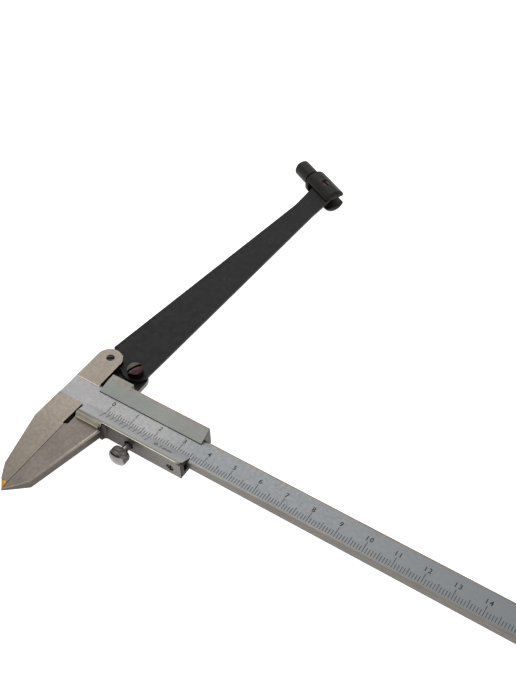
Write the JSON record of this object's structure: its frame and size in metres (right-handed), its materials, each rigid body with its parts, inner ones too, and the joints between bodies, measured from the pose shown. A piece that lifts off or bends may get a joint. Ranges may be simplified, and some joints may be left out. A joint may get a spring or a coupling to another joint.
{
  "type": "marking caliper",
  "caption": "Vernier marking caliper: a beam with a fixed pointed jaw, a clamped slider with the moving jaw, and a long swivelling side arm that ends in a clevis with a stud.",
  "frame": {"origin": "on the beam's scale face (z = 0), on the beam's centre line, in the plane where the jaws meet", "axes": "+X along the beam to its open end, +Y across the beam away from the jaws, +Z out of the scale face"},
  "size_m": [0.2161, 0.1992, 0.0111],
  "materials": {
    "ground_steel": "ground hardened steel with satin scale band",
    "satin_steel": "satin chromed steel",
    "hard_tip": "gold-coloured hard tip",
    "black_steel": "blackened spring steel",
    "black_fork": "oil-blackened turned steel",
    "dark_screw": "blued screw worn brown",
    "bright_chrome": "chromed and knurled",
    "bronze": "phosphor bronze",
    "washer_steel": "plain dark steel"
  },
  "bodies": {
    "beam": {"beam": "ground_steel", "scriber_tip": "hard_tip", "end_stop": "satin_steel", "end_stop_screws": "dark_screw", "stop_screw": "dark_screw"},
    "slider": {"slider": "satin_steel", "gib": "bronze", "gib_screw": "dark_screw", "pivot_screw": "dark_screw", "pivot_washer": "washer_steel"},
    "clamp_pad": {"clamp_pad": "bronze"},
    "clamp_screw": {"clamp_screw": "bright_chrome"},
    "arm": {"arm": "black_steel"},
    "clevis": {"clevis": "black_fork", "stud": "black_fork", "clevis_screw": "dark_screw", "clevis_washer": "washer_steel", "clevis_spacer": "washer_steel"}
  },
  "joints": [
    {"name": "slider_slide", "type": "slide", "parent": "beam", "child": "slider", "axis": [1, 0, 0], "range_m": [0, 0.15]},
    {"name": "clamp_pad_slide", "type": "slide", "parent": "slider", "child": "clamp_pad", "axis": [0, -1, 0], "range_m": [0, 0.00056]},
    {"name": "clamp_screw_turn", "type": "hinge", "parent": "clamp_pad", "child": "clamp_screw", "pos_m": [0.023, -0.01255, -0.0019], "axis": [0, -1, 0], "range_deg": [0, 450]},
    {"name": "arm_swing", "type": "hinge", "parent": "slider", "child": "arm", "pos_m": [0.006, 0.0172, -0.002], "axis": [0, 0, 1], "range_deg": [-75, 18]},
    {"name": "clevis_swivel", "type": "hinge", "parent": "arm", "child": "clevis", "pos_m": [0.01162, 0.14107, -0.0032], "axis": [0, 0, 1], "range_deg": [-165, 30]}
  ],
  "couplings": [
    {"joint": "clamp_screw_turn", "follows": "clamp_pad_slide", "rad_per_m": 13963}
  ]
}
